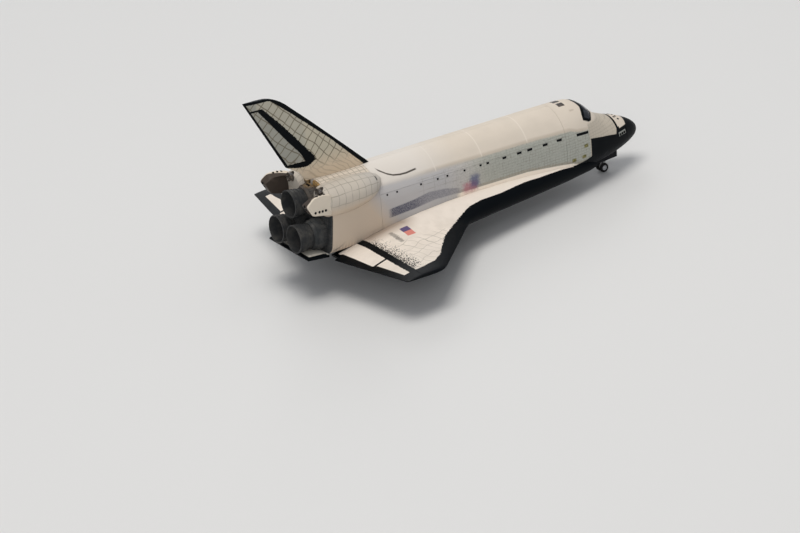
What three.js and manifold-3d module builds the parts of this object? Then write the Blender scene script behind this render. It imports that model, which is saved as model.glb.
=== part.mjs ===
// Winged orbiter spaceplane as a 1:400 display model, parked on its wheels.
// Millimetres, +X towards the nose, +Y to port, +Z up.
// Tables are in inches of the full-size craft: station counts aft, butt outboard, level up.

import * as THREE from 'three';
import { mergeVertices } from 'three/addons/utils/BufferGeometryUtils.js';
import Module from 'manifold-3d';

const wasm = await Module();
wasm.setup();

// Driving dimensions
const MODEL_SCALE = 400;
const INCH = 25.4 / MODEL_SCALE;
const NOSE_STATION = 238;
const DATUM_LEVEL = 400;
const SEAM = 0.05 / INCH;
const STANCE = THREE.MathUtils.degToRad(3.5);
const FAR = 2000;

const CAP_END = 306;
const CABIN_END = 582;
const BAY_END = 1302;
const BASE_STATION = 1506;
// The base wall leans forward from its foot, by this much for each unit up.
const BASE_FOOT = 284;
const BASE_LEAN = 0.1;
const SILL_LEVEL = 428;
const HULL_POINTS = 48;

const HINGE_STATION = 1387;
const ELEVON_INNER = 129;
const ELEVON_SPLIT = 287;
const WING_TIP = 468;

const RUDDER = { low: 570, high: 788, lowStation: 1465, highStation: 1645 };

const GROUND_LEVEL = 167;
const MAIN_GEAR = { station: 1172, butt: 136, tyre: 22.25, width: 16, spacing: 36, hub: 10 };
const NOSE_GEAR = { station: 378, butt: 0, tyre: 16, width: 8.8, spacing: 22, hub: 7.5 };
const AXLE_RADIUS = 3.2;
const AXLE_PLAY = 1.3;

const SIDES = [['left', 1], ['right', -1]];

const WHITE = { color: 0xe6e0cf, roughness: 0.45, metalness: 0 };
const TILE = { color: 0xb9b3a2, roughness: 0.6, metalness: 0 };
const BLACK = { color: 0x1d1d1f, roughness: 0.5, metalness: 0 };
const BASE_GREY = { color: 0x34343a, roughness: 0.6, metalness: 0 };
const BELL = { color: 0x3a3634, roughness: 0.45, metalness: 0.4 };
const METAL = { color: 0x8d8a86, roughness: 0.3, metalness: 0.9 };
const TYRE = { color: 0x161616, roughness: 0.8, metalness: 0 };

// A point of the airframe from full-size station, butt (port positive) and level.
function point(station, butt, level) {
  return new THREE.Vector3((NOSE_STATION - station) * INCH, butt * INCH, (level - DATUM_LEVEL) * INCH);
}

function signedVolume(positions, faces) {
  const [a, b, c] = [new THREE.Vector3(), new THREE.Vector3(), new THREE.Vector3()];
  let sum = 0;
  for (let i = 0; i < faces.length; i += 3) {
    a.fromArray(positions, 3 * faces[i]);
    b.fromArray(positions, 3 * faces[i + 1]);
    c.fromArray(positions, 3 * faces[i + 2]);
    sum += a.dot(b.cross(c)) / 6;
  }
  return sum;
}

// A closed geometry as a solid: shared vertices merged, flat triangles dropped, faces out.
function solid(geometry) {
  const bare = new THREE.BufferGeometry();
  bare.setAttribute('position', geometry.getAttribute('position'));
  bare.setIndex(geometry.index);
  const merged = mergeVertices(bare, 1e-5);
  const positions = merged.getAttribute('position').array;
  const all = merged.index.array;
  const faces = [];
  for (let i = 0; i < all.length; i += 3) {
    const [a, b, c] = [all[i], all[i + 1], all[i + 2]];
    if (a !== b && b !== c && c !== a) faces.push(a, b, c);
  }
  if (signedVolume(positions, faces) < 0) faces.reverse();
  return new wasm.Manifold(new wasm.Mesh({
    numProp: 3,
    vertProperties: new Float32Array(positions),
    triVerts: new Uint32Array(faces),
  }));
}

// A skin over rings of equal length, closed by a fan at each end.
function loft(rings) {
  const count = rings[0].length;
  const last = (rings.length - 1) * count;
  const points = rings.flat();
  const faces = [];
  for (let row = 0; row < last; row += count) {
    for (let i = 0; i < count; i++) {
      const next = (i + 1) % count;
      faces.push(row + i, row + next, row + count + next);
      faces.push(row + i, row + count + next, row + count + i);
    }
  }
  for (const [row, ring, flip] of [[0, rings[0], true], [last, rings.at(-1), false]]) {
    const middle = new THREE.Vector3();
    for (const p of ring) middle.addScaledVector(p, 1 / count);
    points.push(middle);
    for (let i = 0; i < count; i++) {
      const [a, b] = [row + i, row + ((i + 1) % count)];
      faces.push(points.length - 1, flip ? b : a, flip ? a : b);
    }
  }
  const geometry = new THREE.BufferGeometry().setFromPoints(points);
  geometry.setIndex(faces);
  return solid(geometry);
}

// A box between two stations, two butts and two levels.
function block([fore, aft], [inner, outer], [low, high]) {
  const size = [aft - fore, Math.abs(outer - inner), high - low].map((length) => length * INCH);
  const middle = point((fore + aft) / 2, (inner + outer) / 2, (low + high) / 2);
  return solid(new THREE.BoxGeometry(...size).translate(middle.x, middle.y, middle.z));
}

// A side outline of [station, level] corners, drawn out between two butts.
function sidePlate(corners, inner, outer) {
  const shape = new THREE.Shape(corners.map(([station, level]) => {
    const p = point(station, 0, level);
    return new THREE.Vector2(p.x, p.z);
  }));
  const depth = Math.abs(outer - inner) * INCH;
  const geometry = new THREE.ExtrudeGeometry(shape, { depth, bevelEnabled: false });
  geometry.rotateX(Math.PI / 2);
  geometry.translate(0, Math.max(inner, outer) * INCH, 0);
  return solid(geometry);
}

// A round bar, radius in inches, from one airframe point to another.
function bar(from, to, radius, sides = 16) {
  const along = new THREE.Vector3().subVectors(to, from);
  const geometry = new THREE.CylinderGeometry(radius * INCH, radius * INCH, along.length(), sides);
  const turn = new THREE.Quaternion().setFromUnitVectors(
    new THREE.Vector3(0, 1, 0), along.clone().normalize());
  geometry.applyQuaternion(turn);
  const middle = new THREE.Vector3().addVectors(from, to).multiplyScalar(0.5);
  return solid(geometry.translate(middle.x, middle.y, middle.z));
}

// A turned piece: [radius, distance] profile about an axis that starts at origin.
function turned(profile, origin, axis, sides) {
  const outline = profile.map(([radius, distance]) => new THREE.Vector2(radius * INCH, distance * INCH));
  const geometry = new THREE.LatheGeometry(outline, sides);
  geometry.applyQuaternion(new THREE.Quaternion().setFromUnitVectors(new THREE.Vector3(0, 1, 0), axis));
  return solid(geometry.translate(origin.x, origin.y, origin.z));
}

const airframe = new THREE.Group();

function addPiece(name, body, finish, place = new THREE.Vector3()) {
  const { vertProperties, triVerts } = body.getMesh();
  const geometry = new THREE.BufferGeometry();
  geometry.setAttribute('position', new THREE.BufferAttribute(vertProperties, 3));
  geometry.setIndex(new THREE.BufferAttribute(triVerts, 1));
  geometry.computeVertexNormals();
  const mesh = new THREE.Mesh(geometry, new THREE.MeshStandardMaterial(finish));
  mesh.name = name;
  mesh.position.copy(place);
  airframe.add(mesh);
}

// Fuselage

// station, half width, bottom, top, widest level, arch power, belly power
const HULL_SECTIONS = [
  [238.2, 2.5, 336, 342, 339, 2.0, 2.0],
  [240, 9, 331, 347.5, 339, 2.0, 2.0],
  [244, 16, 325, 354, 339, 2.0, 2.0],
  [250, 23.5, 319, 361, 339, 2.0, 2.0],
  [258, 31, 313, 368, 338, 2.0, 2.0],
  [270, 39, 307, 376.5, 338, 2.0, 2.0],
  [285, 47, 301, 385, 338, 2.0, 2.05],
  [306, 56.5, 295, 394.5, 338, 2.05, 2.1],
  [330, 65, 289.5, 403, 338, 2.1, 2.2],
  [360, 74.5, 284.5, 413, 338, 2.15, 2.35],
  [385, 80.5, 281.5, 423, 339, 2.2, 2.5],
  [400, 84, 280, 430, 340, 2.2, 2.6],
  [414, 86.5, 278.5, 438, 342, 2.25, 2.7],
  [430, 90, 277, 455, 344, 2.3, 2.8],
  [450, 92, 275.5, 474, 348, 2.35, 3.0],
  [465, 94, 274.5, 487, 353, 2.4, 3.1],
  [480, 96, 273.5, 495.5, 359, 2.35, 3.3],
  [500, 98.5, 272.5, 501, 368, 2.3, 3.5],
  [530, 101, 271, 504, 383, 2.15, 4.0],
  [582, 104, 269.5, 505, 397, 2.0, 4.8],
  [640, 105, 268.5, 505, 400, 2.0, 5.8],
  [800, 105, 268, 505, 400, 2.0, 7.0],
  [1302, 105, 270, 505, 400, 2.0, 8.0],
  [1400, 115, 277, 506.5, 400, 2.1, 8.0],
  [1506, 126, 284, 508, 400, 2.2, 8.0],
];

function superellipse(angle, power) {
  const [c, s] = [Math.cos(angle), Math.sin(angle)];
  return [Math.sign(c) * Math.abs(c) ** (2 / power), Math.sign(s) * Math.abs(s) ** (2 / power)];
}

// The fuselage's section at a station, pushed outwards by grow.
function hullRing([station, halfWidth, bottom, top, widest, archPower, bellyPower], grow) {
  const ring = [];
  for (let i = 0; i < HULL_POINTS; i++) {
    const angle = (2 * Math.PI * i) / HULL_POINTS;
    const above = i <= HULL_POINTS / 2;
    const [across, up] = superellipse(angle, above ? archPower : bellyPower);
    const height = (above ? top - widest : widest - bottom) + grow;
    ring.push(point(station, across * (halfWidth + grow), widest + up * height));
  }
  return ring;
}

// A ring tipped forward above the foot of the base, as the base itself leans.
function leaned(ring) {
  const foot = (BASE_FOOT - DATUM_LEVEL) * INCH;
  return ring.map((p) => p.clone().setX(p.x + (p.z - foot) * BASE_LEAN));
}

// The last section at a station, leaned like the base.
function baseRing(station, grow) {
  return leaned(hullRing([station, ...HULL_SECTIONS.at(-1).slice(1)], grow));
}

// The whole fuselage; an aft end past the base carries its last section straight back.
function hull(grow, aftEnd = BASE_STATION) {
  const rings = HULL_SECTIONS.slice(0, -1).map((row) => hullRing(row, grow));
  rings.push(baseRing(BASE_STATION, grow));
  if (aftEnd > BASE_STATION) rings.push(baseRing(aftEnd, grow));
  return loft(rings);
}

// A shallow flat-roofed pocket under the belly for a display stand.
const STAND_PAD = { station: 1010, length: 72, width: 48, depth: 4 };

function buildFuselage() {
  const body = hull(0);
  const whole = [-FAR, FAR];
  const half = SEAM / 2;
  const between = (fore, aft) => body.intersect(block([fore + half, aft - half], whole, whole));

  addPiece('nose_cap', between(-FAR, CAP_END), BLACK);

  const noseWell = block(
    [NOSE_GEAR.station - 53, NOSE_GEAR.station + 47], [-17, 17], [200, 306]);
  addPiece('forward_fuselage', between(CAP_END, CABIN_END).subtract(noseWell), TILE);

  const bay = between(CABIN_END, BAY_END);
  const pad = STAND_PAD;
  const standPad = block(
    [pad.station - pad.length / 2, pad.station + pad.length / 2],
    [-pad.width / 2, pad.width / 2], [200, 269 + pad.depth]);
  addPiece('mid_fuselage',
    bay.intersect(block(whole, whole, [0, SILL_LEVEL - half])).subtract(standPad), TILE);
  for (const [side, sign] of SIDES) {
    const door = block(whole, [sign * half, sign * FAR], [SILL_LEVEL + half, FAR]);
    addPiece(`payload_door_${side}`, bay.intersect(door), WHITE);
  }

  let tail = between(BAY_END, FAR);
  for (const engine of ENGINES) tail = tail.subtract(bellPocket(engine));
  addPiece('aft_fuselage', tail, TILE);
}

// Wings

// butt, leading edge, trailing edge, underside, thickness
const WING_SECTIONS = [
  [90, 452, 1507, 269.6, 62],
  [105, 512, 1507, 269.6, 70],
  [120, 600, 1504, 269.8, 71],
  [135, 690, 1502, 270.2, 68],
  [150, 785, 1499, 270.7, 64],
  [165, 878, 1496, 271.3, 58],
  [177, 946, 1494, 272, 53],
  [190, 1008, 1492, 272.8, 49],
  [205, 1038, 1489, 273.7, 45],
  [225, 1062, 1486, 275, 41],
  [309, 1146, 1470, 280, 29],
  [400, 1237, 1454, 285.8, 18],
  [444, 1281, 1446, 288.5, 13],
  [458, 1298, 1444, 289.4, 11],
  [465, 1313, 1443, 290, 9],
  [468, 1328, 1442, 290.4, 7],
];
const WING_THICKEST = 0.42;
const EDGE_THICKNESS = 2.6;

// Height of the upper skin over the underside, at a share of the chord.
function upperSkin(share, thickness, nose) {
  if (share < WING_THICKEST) {
    const back = 1 - share / WING_THICKEST;
    return nose + (thickness - nose) * Math.sqrt(1 - back * back);
  }
  const fall = ((share - WING_THICKEST) / (1 - WING_THICKEST)) ** 2.1;
  return EDGE_THICKNESS + (thickness - EDGE_THICKNESS) * (1 - fall);
}

// Height of the lower skin over the flat underside: only the leading edge curls up.
function lowerSkin(share, nose) {
  const back = Math.max(0, 1 - share / 0.12);
  return nose * (1 - Math.sqrt(1 - back * back));
}

function wingRing([butt, leading, trailing, underside, thickness], sign) {
  const chord = trailing - leading;
  const nose = 0.34 * thickness;
  const upper = [0, 0.008, 0.03, 0.07, 0.13, 0.21, 0.31, 0.42, 0.54, 0.65, 0.75, 0.83, 0.9, 0.95, 1];
  const lower = [1, 0.75, 0.42, 0.12, 0.07, 0.03, 0.008];
  const at = (share, height) => point(leading + share * chord, sign * butt, underside + height);
  return [
    ...upper.map((share) => at(share, upperSkin(share, thickness, nose))),
    ...lower.map((share) => at(share, lowerSkin(share, nose))),
  ];
}

// Bottoms of the wheel wells reach this far up from the belly.
const WELL_ROOF = 300;
const MAIN_WELL = { fore: MAIN_GEAR.station - 60, aft: MAIN_GEAR.station + 60, inner: 113, outer: 160 };

function buildWing(side, sign, fuselage) {
  const panel = loft(WING_SECTIONS.map((row) => wingRing(row, sign))).subtract(fuselage);
  const well = block([MAIN_WELL.fore, MAIN_WELL.aft],
    [sign * MAIN_WELL.inner, sign * MAIN_WELL.outer], [200, WELL_ROOF]);
  const flapBay = block([HINGE_STATION - SEAM, FAR],
    [sign * (ELEVON_INNER - SEAM), sign * FAR], [0, FAR]);
  const stubEnd = block([1490, FAR], [-FAR, FAR], [0, FAR]);
  addPiece(`wing_${side}`, panel.subtract(flapBay).subtract(stubEnd).subtract(well), WHITE);

  const spans = [
    ['inner', ELEVON_INNER, ELEVON_SPLIT - SEAM / 2],
    ['outer', ELEVON_SPLIT + SEAM / 2, WING_TIP + 1],
  ];
  for (const [place, from, to] of spans) {
    const span = block([HINGE_STATION, FAR], [sign * from, sign * to], [0, FAR]);
    addPiece(`elevon_${place}_${side}`, panel.intersect(span), WHITE);
  }
}

// Fin and rudder

// level, leading edge, trailing edge, greatest thickness
const FIN_SECTIONS = [
  [490, 1258, 1535, 21],
  [570, 1339, 1577, 19],
  [700, 1473, 1646, 14.5],
  [830, 1612, 1715, 10],
];
const FIN_THICKEST = 0.56;
const FIN_EDGE = 1.1;

function finRing([level, leading, trailing, thickness]) {
  const chord = trailing - leading;
  const half = thickness / 2;
  // share of chord, half thickness
  const skin = [[0, FIN_EDGE], [0.03, 0.3 * half], [0.12, 0.52 * half], [0.3, 0.8 * half],
    [FIN_THICKEST, half], [1, FIN_EDGE]];
  const flank = (sign) => skin.map(([share, out]) => point(leading + share * chord, sign * out, level));
  return [...flank(1), ...flank(-1).reverse()];
}

// The fin's side outline: swept edges, a rounded top corner and a notch under the rudder.
function finOutline() {
  const corner = new THREE.QuadraticBezierCurve(
    new THREE.Vector2(1640, 818.5), new THREE.Vector2(1594, 815), new THREE.Vector2(1545, 768));
  return [[1217, 460], [1508, 460], [1508, 506], [1530, 541], [1577, RUDDER.low], [1713, 822],
    ...corner.getPoints(7).map(({ x, y }) => [x, y]), [1217, 461]];
}

function rudderOutline(grow) {
  const { low, high, lowStation, highStation } = RUDDER;
  return [[lowStation - grow * 1.2, low - grow], [highStation - grow * 1.2, high + grow],
    [1800, high + grow], [1800, low - grow]];
}

function buildFin(fuselage) {
  const blade = loft(FIN_SECTIONS.map(finRing)).intersect(sidePlate(finOutline(), -20, 20));
  const fin = blade.subtract(fuselage).subtract(sidePlate(rudderOutline(SEAM), -20, 20));
  addPiece('fin', fin, TILE);
  addPiece('rudder', blade.intersect(sidePlate(rudderOutline(0), -20, 20)), TILE);
}

// Manoeuvring pods beside the fin's root

// station, butt, level, half width, half height
const POD_SECTIONS = [
  [1284, 78, 474, 8, 6],
  [1296, 78, 471, 28, 22],
  [1315, 78, 467, 43, 34],
  [1345, 78, 462, 54, 44],
  [1385, 79, 460, 60, 51],
  [1440, 80, 458, 62, 55],
  [1480, 83, 458, 58, 53],
  [1500, 86, 459, 52, 50],
  [1510, 88, 460, 45, 44],
];

function podRing([station, butt, level, halfWidth, halfHeight], sign, grow) {
  const ring = [];
  for (let i = 0; i < 32; i++) {
    const [across, up] = superellipse((2 * Math.PI * i) / 32, 2.2);
    ring.push(point(station, sign * (butt + across * (halfWidth + grow)),
      level + up * (halfHeight + grow)));
  }
  return ring;
}

// Side outline of the thruster housing, as station and level, and its turns' radius.
const THRUSTER_BOX = [[1597, 485], [1575, 445], [1498, 426], [1496, 499], [1534, 508], [1570, 507]];
const THRUSTER_CORNER = 9;
// butt, share of the side outline's size
const THRUSTER_SECTIONS = [[112, 0.97], [117, 1], [138, 1], [144, 0.97], [148, 0.9]];
const THRUSTER_OUT = 148;
// How far its side is drawn in for each unit forward.
const THRUSTER_DRAW = 0.13;
// How far its top edge, at its own rise over the middle, falls for each unit towards the pod.
const THRUSTER_RISE = 30;
const THRUSTER_FALL = 0.36;

const OMS_GIMBAL = { station: 1496, butt: 88, level: 492.5 };
const OMS_NOZZLE = [[0, -6], [8, -6], [8, 2], [11.5, 12], [14.5, 26], [12.6, 26], [9.5, 12], [5, 4], [0, 4]];

// A closed outline with each corner turned by a small curve.
function rounded(corners, radius) {
  const points = corners.map(([station, level]) => new THREE.Vector2(station, level));
  return points.flatMap((corner, i) => {
    const [before, after] = [points.at(i - 1), points[(i + 1) % points.length]];
    const step = (to) => corner.clone().add(to.clone().sub(corner).setLength(radius));
    const turn = new THREE.QuadraticBezierCurve(step(before), corner, step(after));
    return turn.getPoints(3).map(({ x, y }) => [x, y]);
  });
}

// The thruster housing outboard of the pod: soft-edged, drawn in towards the front.
function thrusterHousing(sign, grow) {
  const outline = rounded(THRUSTER_BOX, THRUSTER_CORNER);
  const middle = THRUSTER_BOX.reduce(([s, l], [station, level]) => [s + station / 6, l + level / 6], [0, 0]);
  const rings = THRUSTER_SECTIONS.map(([butt, share], row) => outline.map(([station, level]) => {
    const size = share + grow / 40;
    const aft = middle[0] + (station - middle[0]) * size;
    const out = butt - (row > 0 ? THRUSTER_DRAW * (THRUSTER_BOX[0][0] - aft) : 0);
    const rise = (level - middle[1]) * size;
    const fall = Math.max(0, rise / THRUSTER_RISE) * THRUSTER_FALL * (THRUSTER_OUT - butt);
    return point(aft, sign * (out + (row > 0 ? grow : -grow)), middle[1] + rise - fall);
  }));
  return loft(rings);
}

function pod(sign, grow) {
  return loft(POD_SECTIONS.map((row) => podRing(row, sign, grow)));
}

function buildPod(side, sign, fuselage) {
  const axis = new THREE.Vector3(-1, 0, 0.1).normalize();
  const gimbal = point(OMS_GIMBAL.station, sign * OMS_GIMBAL.butt, OMS_GIMBAL.level);
  const nozzle = turned(OMS_NOZZLE, gimbal, axis, 20);
  const socket = bar(gimbal.clone().addScaledVector(axis, -8 * INCH),
    gimbal.clone().addScaledVector(axis, 60 * INCH), 16, 20);
  addPiece(`oms_pod_${side}`, pod(sign, 0).subtract(fuselage).subtract(socket), TILE);
  addPiece(`rcs_housing_${side}`,
    thrusterHousing(sign, 0).subtract(pod(sign, SEAM)).subtract(fuselage).subtract(socket), WHITE);
  addPiece(`oms_nozzle_${side}`, nozzle, METAL);
}

// Base, main engines and body flap

// radius, distance from the exit plane along the axis, for the bell's outside, inside and dome
const BELL_OUTSIDE = [[0, -102], [18, -102], [24, -94], [32.5, -75], [39, -52], [43.5, -26], [45.3, 0]];
const BELL_INSIDE = [[42.8, 0], [41, -26], [36.5, -52], [30, -75], [12, -94], [0, -94]];
const DOME_PROFILE = [[0, -130], [51, -130], [51, -80], [47.5, -64], [41.5, -53], [0, -53]];
const BELL_SIDES = 24;

// name, exit station, butt, level, pitch up, yaw outboard
const ENGINES = [
  ['upper', 1580, 0, 445, 2, 0],
  ['left', 1602, 54, 348, 3, 0],
  ['right', 1602, -54, 348, 3, 0],
];

// Exit centre and outward axis of each engine.
function engineLine([, station, butt, level, pitch, yaw]) {
  const up = Math.tan(THREE.MathUtils.degToRad(pitch));
  const out = Math.tan(THREE.MathUtils.degToRad(yaw));
  return [point(station, butt, level), new THREE.Vector3(-1, out, up).normalize()];
}

// The room that a bell takes up to its exit, with a seam all round.
function bellPocket(engine) {
  const wall = BELL_OUTSIDE.slice(1).map(([radius, distance]) => [radius + SEAM, distance]);
  const end = BELL_OUTSIDE[0][1] - SEAM;
  return turned([[0, end], [wall[0][0], end], ...wall, [0, 0]], ...engineLine(engine), BELL_SIDES);
}

function buildBase(keepClear) {
  const front = BASE_STATION + SEAM / 2;
  let shield = loft([baseRing(front, -2), baseRing(BASE_STATION + 7, -3)]);
  const lean = (level) => front - (level - BASE_FOOT) * BASE_LEAN;
  const behindBase = sidePlate([[lean(0), 0], [lean(FAR), FAR], [FAR, FAR], [FAR, 0]], -FAR, FAR);
  for (const engine of ENGINES) {
    shield = shield.add(turned(DOME_PROFILE, ...engineLine(engine), BELL_SIDES).intersect(behindBase));
  }
  for (const body of [...ENGINES.map(bellPocket), ...keepClear]) shield = shield.subtract(body);
  addPiece('engine_heat_shield', shield, BASE_GREY);
  for (const engine of ENGINES) {
    const bell = turned([...BELL_OUTSIDE, ...BELL_INSIDE], ...engineLine(engine), BELL_SIDES);
    addPiece(`main_engine_${engine[0]}`, bell, BELL);
  }
}

const FLAP_PROFILE = [[1514.5, 282], [1593, 290.5], [1594.5, 294], [1589, 298.2], [1530, 294], [1514.5, 291]];
const FLAP_HALF_SPAN = 118;

// Landing gear

// Level of the parking surface under a station: the nose stands lower than the tail.
function groundUnder(station) {
  return GROUND_LEVEL + (MAIN_GEAR.station - station) * Math.tan(STANCE);
}

function axleLevel({ station, tyre }) {
  return groundUnder(station) + tyre / Math.cos(STANCE);
}

// Two tyres on one axle, turned about the axle's own middle.
function wheelPair({ tyre, width, spacing, hub }) {
  const [near, far] = [(spacing - width) / 2, (spacing + width) / 2];
  const profile = [
    [0, far - 1.5], [hub, far - 1.5], [hub, far], [tyre - 3, far], [tyre, far - 3], [tyre, near + 3],
    [tyre - 3, near], [AXLE_RADIUS, near],
  ];
  const mirrored = profile.map(([radius, distance]) => [radius, -distance]).reverse();
  return turned([...profile, ...mirrored], new THREE.Vector3(), new THREE.Vector3(0, 1, 0), 20);
}

// A strut with a sleeve round the axle at its foot.
function gearLeg(gear, top, radius) {
  const level = axleLevel(gear);
  const at = (butt, height) => point(gear.station, butt, height);
  const reach = (gear.spacing - gear.width) / 2 - 1.4;
  const sleeve = bar(at(gear.butt - reach, level), at(gear.butt + reach, level), AXLE_RADIUS + AXLE_PLAY + 3);
  const bore = bar(at(gear.butt - 20, level), at(gear.butt + 20, level), AXLE_RADIUS + AXLE_PLAY);
  const strut = bar(at(gear.butt, level), at(gear.butt, top), radius);
  return strut.add(sleeve).subtract(bore);
}

function addWheels(name, gear) {
  addPiece(name, wheelPair(gear), TYRE, point(gear.station, gear.butt, axleLevel(gear)));
}

function buildNoseGear() {
  addPiece('nose_gear_leg', gearLeg(NOSE_GEAR, 306 - SEAM, 5), METAL);
  addWheels('nose_wheels', NOSE_GEAR);
  for (const [side, sign] of SIDES) {
    const door = sidePlate([[330, 284], [330, 262], [420, 256], [420, 272]], sign * 17, sign * 21);
    addPiece(`nose_gear_door_${side}`, door, BLACK);
  }
}

function buildMainGear(side, sign) {
  const gear = { ...MAIN_GEAR, butt: sign * MAIN_GEAR.butt };
  const brace = bar(point(gear.station, gear.butt, 236), point(gear.station - 44, gear.butt, 296), 3.4, 12);
  addPiece(`main_gear_leg_${side}`, gearLeg(gear, WELL_ROOF - SEAM, 6.5).add(brace), METAL);
  addWheels(`main_wheels_${side}`, gear);
  const { fore, aft } = MAIN_WELL;
  const door = sidePlate([[fore, 268], [fore + 6, 222], [aft - 6, 222], [aft, 268]], sign * 162, sign * 166);
  addPiece(`main_gear_door_${side}`, door, BLACK);
}

// Assembly

buildFuselage();
const skinWithSeam = hull(SEAM, BASE_STATION + 40);
for (const [side, sign] of SIDES) {
  buildWing(side, sign, skinWithSeam);
  buildPod(side, sign, hull(SEAM));
  buildMainGear(side, sign);
}
buildFin(skinWithSeam);
const pods = SIDES.flatMap(([, sign]) => [pod(sign, SEAM), thrusterHousing(sign, SEAM)]);
buildBase([...pods, sidePlate(finOutline(), -12, 12)]);
addPiece('body_flap', sidePlate(FLAP_PROFILE, -FLAP_HALF_SPAN, FLAP_HALF_SPAN), BLACK);
buildNoseGear();

// Parked: nose lower than the tail, wheels on the ground, centred over the origin.
airframe.rotation.y = STANCE;
const model = new THREE.Group();
model.name = 'orbiter_model';
model.add(airframe);

const extent = new THREE.Box3().setFromObject(model, true);
const middle = extent.getCenter(new THREE.Vector3());
airframe.position.set(-middle.x, -middle.y, -extent.min.z);

export default model;
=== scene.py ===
"""A collector's orbiter at 1:400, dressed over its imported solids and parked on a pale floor.

Shapes are drawn in inches of the full-size craft: station counts aft of the nose datum,
butt runs out to port and level runs up. One matrix then seats them on the model, in metres.
"""

import contextlib
import math

import bmesh
import bpy
from mathutils import Matrix, Vector
from mathutils.bvhtree import BVHTree


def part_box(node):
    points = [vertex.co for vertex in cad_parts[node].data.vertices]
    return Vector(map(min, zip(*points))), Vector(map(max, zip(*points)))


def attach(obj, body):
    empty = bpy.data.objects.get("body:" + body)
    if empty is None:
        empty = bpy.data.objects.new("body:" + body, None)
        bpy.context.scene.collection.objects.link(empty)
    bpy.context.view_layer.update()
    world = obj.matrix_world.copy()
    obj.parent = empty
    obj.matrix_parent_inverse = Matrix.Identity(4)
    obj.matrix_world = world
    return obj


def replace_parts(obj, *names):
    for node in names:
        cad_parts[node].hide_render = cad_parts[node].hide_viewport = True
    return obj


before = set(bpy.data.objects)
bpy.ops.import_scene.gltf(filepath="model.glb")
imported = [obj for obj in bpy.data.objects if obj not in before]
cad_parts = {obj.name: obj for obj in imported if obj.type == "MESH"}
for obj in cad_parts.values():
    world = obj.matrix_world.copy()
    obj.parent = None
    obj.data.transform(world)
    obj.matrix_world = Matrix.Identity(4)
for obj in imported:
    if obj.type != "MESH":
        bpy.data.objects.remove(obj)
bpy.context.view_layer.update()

SCALE = 400
INCH = 0.0254 / SCALE
MILLIMETRE = 0.001
NOSE_STATION = 238
DATUM_LEVEL = 400
STANCE = math.radians(3.5)
SIDES = (("left", 1), ("right", -1))

# the floor's level, then station, butt and level of each axle
GROUND = 167
MAIN_AXLE = (1172, 136, GROUND + 22.25 / math.cos(STANCE))
NOSE_AXLE = (378, 0, GROUND + (1172 - 378) * math.tan(STANCE) + 16 / math.cos(STANCE))


def spot(station, butt, level):
    """A place on the craft, in inches ahead, to port and up."""
    return Vector((NOSE_STATION - station, butt, level - DATUM_LEVEL))


def stance_matrix():
    """From inches on the craft to metres on the parked model, read off the left wheels."""
    turn = Matrix.Rotation(STANCE, 4, "Y") @ Matrix.Scale(INCH, 4)
    low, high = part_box("main_wheels_left")
    return Matrix.Translation((low + high) / 2 - turn @ spot(*MAIN_AXLE)) @ turn


AIRFRAME = stance_matrix()


# Paint


class Reading:
    """A number read on the surface. Sums and comparisons add the nodes that work them out."""

    def __init__(self, tree, socket):
        self.tree = tree
        self.socket = socket

    def join(self, operation, *others, clamp=False):
        node = self.tree.nodes.new("ShaderNodeMath")
        node.operation = operation
        node.use_clamp = clamp
        for socket, value in zip(node.inputs, (self, *others)):
            if isinstance(value, Reading):
                self.tree.links.new(value.socket, socket)
            else:
                socket.default_value = value
        return Reading(self.tree, node.outputs[0])

    def __add__(self, other):
        return self.join("ADD", other)

    def __sub__(self, other):
        return self.join("SUBTRACT", other)

    def __mul__(self, other):
        return self.join("MULTIPLY", other)

    def size(self):
        return self.join("ABSOLUTE")

    def past(self, edge, blur=1.0):
        """0 before the edge, 1 past it."""
        return ((self - edge) * (1 / blur)).join("ADD", 0.5, clamp=True)

    def short_of(self, edge, blur=1.0):
        return self.past(edge, blur).outside()

    def between(self, low, high, blur=1.0):
        return self.past(low, blur) * self.short_of(high, blur)

    def ruled(self, spacing, width, blur=0.8):
        """Lines at every multiple of a spacing."""
        return self.join("PINGPONG", spacing / 2).short_of(width / 2, blur)

    def outside(self):
        return self.join("MULTIPLY_ADD", -1.0, 1.0)

    def over(self, other):
        return self.join("MAXIMUM", other)

    def along(self, points):
        """The height of a line drawn through (x, height) points, at this x."""
        x0, x1 = points[0][0], points[-1][0]
        low = min(y for _, y in points)
        rise = max(y for _, y in points) - low
        node = self.tree.nodes.new("ShaderNodeFloatCurve")
        node.mapping.extend = "HORIZONTAL"
        places = [((x - x0) / (x1 - x0), (y - low) / rise) for x, y in points]
        curve = node.mapping.curves[0]
        curve.points[0].location = places[0]
        curve.points[-1].location = places[-1]
        for place in places[1:-1]:
            curve.points.new(*place)
        for point in curve.points:
            point.handle_type = "VECTOR"
        node.mapping.update()
        share = (self - x0) * (1 / (x1 - x0))
        self.tree.links.new(share.socket, node.inputs["Value"])
        return Reading(self.tree, node.outputs[0]) * rise + low


# how much a finish mirrors
SATIN = 0.07
GLASSY = 0.5


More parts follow.
